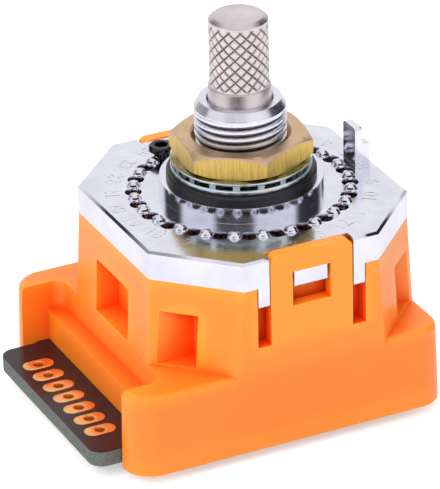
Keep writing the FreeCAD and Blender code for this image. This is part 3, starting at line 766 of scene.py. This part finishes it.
def figure_mesh(number):
    """Corner points in metres and faces of one number, flat and centred on its own origin."""
    curve = bpy.data.curves.new("figure", "FONT")
    curve.body = str(number)
    curve.align_x = "CENTER"
    curve.align_y = "TOP"
    curve.size = number_height * 1.35 * MM
    curve.extrude = number_relief * MM
    letter = bpy.data.objects.new("figure", curve)
    bpy.context.scene.collection.objects.link(letter)
    bpy.context.view_layer.update()
    made = bpy.data.meshes.new_from_object(letter.evaluated_get(bpy.context.evaluated_depsgraph_get()))
    corners = vertex_places(made)
    polygons = [tuple(f.vertices) for f in made.polygons]
    bpy.data.objects.remove(letter)
    bpy.data.curves.remove(curve)
    bpy.data.meshes.remove(made)
    return corners, polygons


def placed_figures():
    """All the numbers, each turned to its hole, as one list of points and one of faces."""
    every_point, every_face, count = [], [], 0
    for number in range(1, POSITIONS + 1):
        corners, polygons = figure_mesh(number)
        angle = math.radians(last_angle - 360.0 / POSITIONS * number)
        turn = angle + math.pi / 2
        x = corners[:, 0] * math.cos(turn) - corners[:, 1] * math.sin(turn)
        y = corners[:, 0] * math.sin(turn) + corners[:, 1] * math.cos(turn)
        x = x / MM + number_radius * math.cos(angle)
        y = y / MM + number_radius * math.sin(angle)
        every_point.append(np.column_stack([x, y, corners[:, 2] / MM + plate_top]))
        every_face += [tuple(v + count for v in polygon) for polygon in polygons]
        count += len(corners)
    return np.vstack(every_point), every_face


points, faces = placed_figures()
figures = bpy.data.objects.new("ring_numbers", bpy.data.meshes.new("ring_numbers"))
figures.data.from_pydata((points * MM).tolist(), [], faces)
bpy.context.scene.collection.objects.link(figures)
outward(figures)
paint(figures, "zinc")
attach(figures, "housing")
print("numbers 1 to", POSITIONS, "with", len(figures.data.polygons), "faces")

# %% [markdown]
# ## Marks of the ejector pins
# Pins pushed the casting out of its die. Each left a faint round spot, as a disc one hundredth
# of a millimetre proud. Six of them show on the face in the photograph.

# %% Leave the pins' marks
mark_places = np.array([[-9.7, 11.4], [-12.9, 7.6], [-11.8, -4.8], [6.4, -13.4], [13.0, -6.7], [12.6, 7.1]])
mark_profile = np.array([[0.0, 0.009], [0.86, 0.009], [0.95, 0.005], [1.0, 0.001], [1.03, -0.02]])
one_mark = turned_points(mark_profile, 32)
offsets = np.column_stack([mark_places, np.full(len(mark_places), plate_top)])
points, faces = repeated(one_mark, grid_faces(len(mark_profile), 32), offsets)
marks = outward(mesh_piece("ejector_marks", points, faces))
paint(marks, "zinc")
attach(marks, "housing")
print("marks", len(mark_places))

# %% [markdown]
# ## The knurled shaft
# The grip is a diamond knurl: two sets of V grooves wind round the shaft, one left-handed and one
# right-handed. Where either set cuts, the radius drops, so the depth at any point is the deeper
# of the two. The shaft below it keeps its form: a plain neck and bearing, the seal's and the
# clip's grooves, two flats, and the thin pilot. The flats come from one line of geometry: a
# radius that may not pass the flat's distance divided by the sine of the angle. The crown has a
# turned chamfer, half a millimetre wide.

# %% Roll the knurl and turn the shaft
knurl_low, knurl_high = 9.95, 16.75
knurl_starts = 16
knurl_depth = 0.16
shaft_columns = knurl_starts * 20
flats_half = 2.2


def knurl_depth_at(turn, height):
    """Deeper of two crossed sets of V grooves, 0 on the flat lands and 1 in a groove's bottom."""
    rise = 2 * math.pi * grip_radius / knurl_starts
    across = height / rise

    def groove(phase):
        """One set of grooves: 1 on a whole phase, falling to 0 on the lands."""
        distance = np.abs((phase % 1.0) - 0.5)
        return np.clip(1.0 - (0.5 - distance) / 0.13, 0.0, 1.0)

    return np.maximum(groove(turn * knurl_starts + across), groove(turn * knurl_starts - across))


def shaft_points():
    """Rows from the pilot's end to the crown; each row's radius is the least of the cuts on it."""
    z_grip = np.linspace(knurl_low - 0.02, knurl_high + 0.15, 170)
    b = shaft_radius  # the bearing's radius; a radius of 9 marks a row that the flats cut
    steps = [(1.5, -22.15), (1.5, -19.05), (9, -19.05), (9, -4.23), (2.4, -4.23), (2.4, -3.63), (b, -3.63),
             (b, 3.2), (2.255, 3.2), (2.255, 4.15), (b, 4.15), (b, grip_low - 0.06), (b - 0.06, grip_low),
             (grip_radius, grip_low + 0.01)]
    low_r = np.array([s[0] for s in steps], float)
    low_z = np.array([s[1] for s in steps], float)
    crown_r = np.array([grip_radius, 2.97, 2.56, 2.49, 0.0])
    crown_z = np.array([grip_high, grip_high + 0.05, shaft_top - 0.03, shaft_top, shaft_top])
    radius = np.concatenate([low_r, np.full(len(z_grip), grip_radius), crown_r])
    height = np.concatenate([low_z, z_grip, crown_z])
    turn = np.arange(shaft_columns) / shaft_columns
    angle = 2 * np.pi * turn
    edge = np.clip((height - knurl_low) / 0.25, 0, 1) * np.clip((knurl_high - height) / 0.25, 0, 1)
    depth = knurl_depth * edge[:, None] * knurl_depth_at(turn[None, :], height[:, None])
    r = radius[:, None] - depth
    on_flats = (radius > 8)[:, None]
    flat = np.minimum(shaft_radius, flats_half / np.maximum(np.abs(np.sin(angle)), 1e-6))[None, :]
    r = np.where(on_flats, flat, r)
    return np.stack([r * np.cos(angle), r * np.sin(angle), height[:, None] + 0 * r], axis=-1)


points = shaft_points()
points = np.concatenate([points[:1] * np.array([0, 0, 1]), points])
shaft = outward(mesh_piece("knurled_shaft", points, grid_faces(len(points), shaft_columns)))
soften(shaft, 0.04, 2, 60)
paint(shaft, "shaft_steel")
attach(shaft, "rotor")
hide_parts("shaft")
print("shaft", len(shaft.data.polygons), "faces,", knurl_starts, "starts each way")

# %% [markdown]
# ## Solder pads
# Each pad is an oval of gold over copper on either face of the board, joined through the board by
# a plated barrel. As a surface it is one closed band: a small circle runs up the barrel, spreads
# into the oval on top, drops to the board, and returns the same way underneath. Row by row the
# loop only changes size and height, so one array holds a whole pad, and seven offsets place them.

# %% Draw the pads
pad_pitch, pad_count, pad_x = 2.54, 7, -19.9
pad_half_length, pad_half_width, pad_hole, plating = 1.65, 0.925, 0.5, 0.06
pad_columns = 48


def pad_loop(half_length, half_width, round_hole):
    """A closed loop: a circle, or an oval made of two half circles joined by straight sides."""
    angle = 2 * np.pi * np.arange(pad_columns) / pad_columns
    if round_hole:
        return half_width * np.stack([np.cos(angle), np.sin(angle)], axis=-1)
    reach = half_length - half_width
    slide = np.clip(np.cos(angle) * 4.0, -1, 1) * reach
    return np.stack([slide + half_width * np.cos(angle), half_width * np.sin(angle)], axis=-1)


def pad_points():
    """Rows from the barrel's foot, up, out over the top oval, down its rim, and back below."""
    top, foot = board_top, board_under
    rows = [(pad_hole, True, foot - plating), (pad_hole, True, top + plating * 0.4),
            (pad_hole + 0.05, True, top + plating), (pad_hole + 0.20, True, top + plating),
            (pad_half_width - 0.10, False, top + plating), (pad_half_width, False, top + plating * 0.5),
            (pad_half_width, False, top - 0.05), (pad_hole + 0.03, True, top - 0.06),
            (pad_hole + 0.03, True, foot + 0.06), (pad_half_width, False, foot + 0.05),
            (pad_half_width, False, foot - plating * 0.5), (pad_half_width - 0.10, False, foot - plating)]
    loops = []
    for half_width, circle, z in rows:
        flat = pad_loop(pad_half_length - (pad_half_width - half_width), half_width, circle)
        loops.append(np.column_stack([flat, np.full(pad_columns, z)]))
    return np.array(loops)


pad_y = pad_pitch * (np.arange(pad_count) - (pad_count - 1) / 2)
offsets = np.column_stack([np.full(pad_count, pad_x), pad_y, np.zeros(pad_count)])
one_pad = pad_points()
points, faces = repeated(one_pad, grid_faces(len(one_pad), pad_columns, True), offsets)
pads = outward(mesh_piece("oval_pads", points, faces))
soften(pads, 0.015, 1, 50)
paint(pads, "gold_plate")
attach(pads, "housing")
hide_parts("solder_pads")
print("pads", pad_count, "at", pad_pitch, "mm")

# %% [markdown]
# ## Light and floor
# The photograph has an even white surround. The world is white for the camera, so the background
# is clean. Bright metal needs something dark to reflect, or it looks like paper. So for the
# surfaces the world is a ring of light panels with dark gaps between them: a panel on either side
# of the camera, a white wall behind the switch, and a white roof. The ring is drawn three times, for
# low, middle and upper heights, because the plate, its edges and the boss each mirror another
# height. Three large soft lamps add the key from the left, the fill from the right and a light from
# the back. Polished metal sees the panels and not the lamps, as with panels that stand in front of
# them.

# %% World, lamps and floor
def studio_world():
    """White to the camera; to everything else, light panels with dark gaps between them."""
    world = bpy.data.worlds.new("studio")
    bpy.context.scene.world = world
    world.use_nodes = True
    tree = world.node_tree
    plain = tree.nodes["Background"]
    output = tree.nodes["World Output"]
    place = tree.nodes.new("ShaderNodeTexCoord").outputs["Generated"]
    x, y, height = (axis_value(tree, place, axis) for axis in "XYZ")
    toward = combine(tree, "ADD", combine(tree, "MULTIPLY", x, math.sin(view_azimuth)),
                     combine(tree, "MULTIPLY", y, -math.cos(view_azimuth)))
    across = combine(tree, "ADD", combine(tree, "MULTIPLY", x, math.cos(view_azimuth)),
                     combine(tree, "MULTIPLY", y, math.sin(view_azimuth)))
    turn = combine(tree, "ADD", combine(tree, "MULTIPLY", combine(tree, "ARCTAN2", across, toward),
                                        0.5 / math.pi), 0.5)
    dark, grey, white = (0.03, 0.03, 0.035), (0.45, 0.45, 0.48), (1.0, 1.0, 1.0)

    def round_the_switch(stops):
        """Tones by azimuth in degrees: 0 is toward the camera, positive is to its right."""
        return ramp(tree, turn, [(0.5 + angle / 360.0, tone) for angle, tone in stops])

    low = round_the_switch([(-180, white), (-143, white), (-134, grey), (-98, grey), (-90, white),
                            (-44, white), (-34, dark), (12, dark), (22, white), (76, white),
                            (86, dark), (136, dark), (148, white), (180, white)])
    middle = round_the_switch([(-180, white), (-143, white), (-134, dark), (-98, dark), (-90, white),
                               (-44, white), (-34, dark), (12, dark), (22, white), (76, white),
                               (86, dark), (136, dark), (148, white), (180, white)])
    upper = round_the_switch([(-180, white), (-140, grey), (-110, grey), (-80, grey), (-62, white),
                              (82, white), (95, dark), (138, dark), (150, white), (180, white)])
    walls = blend_colours(tree, span(tree, height, 0.0, 1.0, 0.28, 0.34), low, middle)
    sides = blend_colours(tree, span(tree, height, 0.0, 1.0, 0.50, 0.60), walls, upper)
    overhead = span(tree, height, 0.0, 1.0, 0.76, 0.80)
    tree.links.new(blend_colours(tree, overhead, sides, (0.96, 0.96, 0.98)), plain.inputs["Color"])
    plain.inputs["Strength"].default_value = 0.92
    clean = tree.nodes.new("ShaderNodeBackground")
    clean.inputs["Color"].default_value = (1, 1, 1, 1)
    clean.inputs["Strength"].default_value = 1.0
    ray = tree.nodes.new("ShaderNodeLightPath").outputs["Is Camera Ray"]
    mix = tree.nodes.new("ShaderNodeMixShader")
    tree.links.new(ray, mix.inputs[0])
    tree.links.new(plain.outputs[0], mix.inputs[1])
    tree.links.new(clean.outputs[0], mix.inputs[2])
    tree.links.new(mix.outputs[0], output.inputs["Surface"])


def soft_lamp(name, place, size, power):
    """A square area lamp aimed at the switch; power in watts."""
    data = bpy.data.lights.new(name, "AREA")
    data.shape = "SQUARE"
    data.size = size
    data.energy = power
    lamp = bpy.data.objects.new(name, data)
    lamp.visible_glossy = False
    aim_at = Vector((0, 0, -6 * MM))
    lamp.location = place
    lamp.rotation_euler = (aim_at - Vector(place)).to_track_quat("-Z", "Y").to_euler()
    bpy.context.scene.collection.objects.link(lamp)
    return lamp


def studio_floor():
    """A wide sheet under the switch, white to the camera except where the shadow falls."""
    reach, gap, camera_glow = 1500.0, 0.02, 0.45
    z = floor_height - gap
    corners = np.array([[-reach, -reach, z], [reach, -reach, z], [reach, reach, z], [-reach, reach, z]])
    floor = mesh_piece("studio_floor", corners, np.array([[0, 1, 2, 3]]), smooth=False)
    material, tree, shader, place = new_finish("pale_floor")
    paper = noise(tree, place, 40.0, 2.0)
    tree.links.new(ramp(tree, paper, [(0.3, (0.86, 0.86, 0.87)), (0.7, (0.90, 0.90, 0.90))]),
                   shader.inputs["Base Color"])
    shader.inputs["Roughness"].default_value = 0.9
    glow = tree.nodes.new("ShaderNodeEmission")
    glow.inputs["Color"].default_value = (1, 1, 1, 1)
    light_path = tree.nodes.new("ShaderNodeLightPath")
    tree.links.new(combine(tree, "MULTIPLY", light_path.outputs["Is Camera Ray"], camera_glow),
                   glow.inputs["Strength"])
    both = tree.nodes.new("ShaderNodeAddShader")
    tree.links.new(shader.outputs[0], both.inputs[0])
    tree.links.new(glow.outputs[0], both.inputs[1])
    tree.links.new(both.outputs[0], tree.nodes["Material Output"].inputs["Surface"])
    floor.data.materials.append(material)


studio_world()
soft_lamp("key_left", (-0.36, -0.24, 0.30), 0.34, 1.85)
soft_lamp("fill_right", (0.36, -0.16, 0.22), 0.30, 0.45)
soft_lamp("top_back", (0.05, 0.30, 0.36), 0.30, 0.4)
studio_floor()
print("lamps, world and floor are in place")
